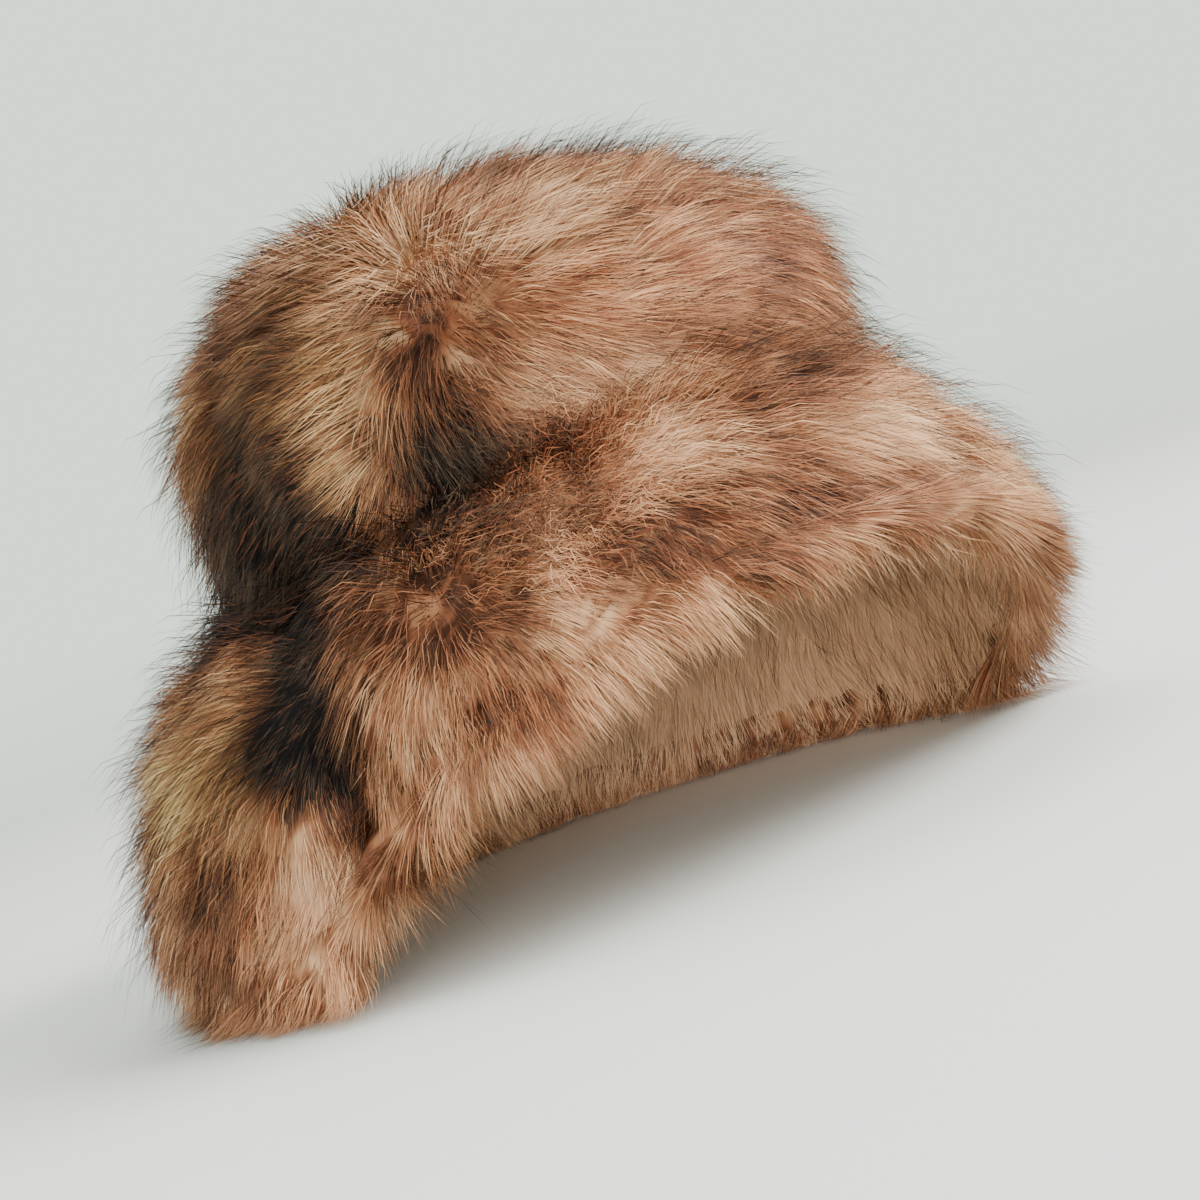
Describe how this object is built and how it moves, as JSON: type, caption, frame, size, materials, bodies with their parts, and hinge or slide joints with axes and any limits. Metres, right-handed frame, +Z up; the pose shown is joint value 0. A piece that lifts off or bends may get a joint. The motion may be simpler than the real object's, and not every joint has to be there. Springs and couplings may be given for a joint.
{
  "type": "faux fur bucket hat",
  "caption": "Long-pile faux fur bucket hat with a domed crown and a wide drooping brim, fur on both sides of the brim and a raised wave at the front.",
  "frame": {"origin": "on the floor, under the middle of the hat's box", "axes": "+Z up out of the crown, -Y the hat's front, +X the wearer's left"},
  "size_m": [0.3506, 0.3544, 0.2584],
  "materials": {
    "backing_cloth": "matt brown knitted backing",
    "tan_pile": "long soft pile, tan with rust and dark brown tips",
    "rust_pile": "long soft pile, rust brown with light tips"
  },
  "bodies": {
    "root": {"crown_top_cloth": "backing_cloth", "crown_side_cloth": "backing_cloth", "brim_top_cloth": "backing_cloth", "brim_under_cloth": "backing_cloth", "crown_top_fur": "tan_pile", "crown_side_fur": "tan_pile", "brim_top_fur": "tan_pile", "brim_under_fur": "rust_pile"}
  },
  "joints": []
}
